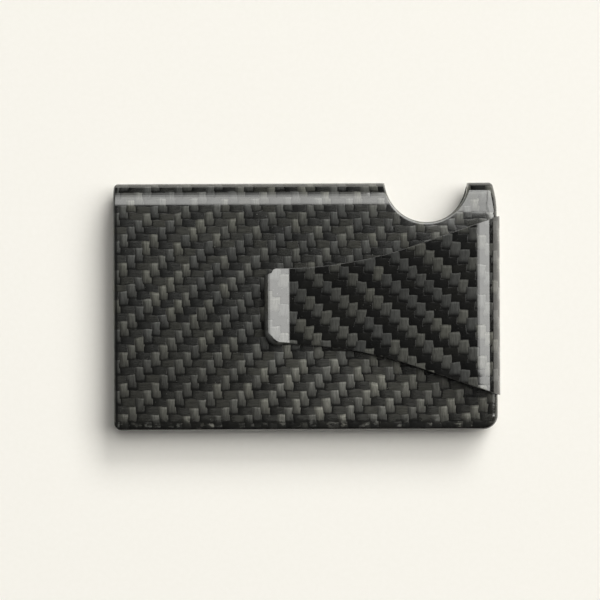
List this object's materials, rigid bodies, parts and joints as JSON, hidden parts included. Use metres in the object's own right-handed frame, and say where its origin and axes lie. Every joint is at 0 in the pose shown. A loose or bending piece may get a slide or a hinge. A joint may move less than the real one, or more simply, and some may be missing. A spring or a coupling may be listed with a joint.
{
  "type": "money clip card sleeve",
  "caption": "Flat hollow card sleeve in carbon twill laminate with a rolled long edge, a half-round thumb notch and a flared spring clip over its front face.",
  "frame": {"origin": "middle of the whole footprint, clip included, on the plane of the back face", "axes": "+X along the length from the open mouth to the closed end, +Y towards the rolled long edge with the thumb notch, +Z out of the front face that carries the clip"},
  "size_m": [0.0922, 0.059, 0.011],
  "materials": {
    "sleeve_laminate": "carbon fibre twill under a glossy clear coat",
    "clip_laminate": "carbon fibre twill under a glossy clear coat",
    "inner_strip": "matt black carbon laminate, as moulded",
    "adhesive": "cured dark epoxy"
  },
  "bodies": {
    "sleeve": {"front_shell": "sleeve_laminate", "back_shell": "sleeve_laminate", "fold_strip": "inner_strip", "edge_strip": "inner_strip", "end_block": "inner_strip", "clip_bond": "adhesive", "clip_root": "clip_laminate"},
    "clip": {"clip_blade": "clip_laminate"}
  },
  "joints": [
    {"name": "clip_flex", "type": "hinge", "parent": "sleeve", "child": "clip", "pos_m": [0.03957, 0, 0.01098], "axis": [0, 1, 0], "range_deg": [0, 8], "stiffness_Nm_per_rad": 1.9, "springref_deg": -2.01}
  ]
}
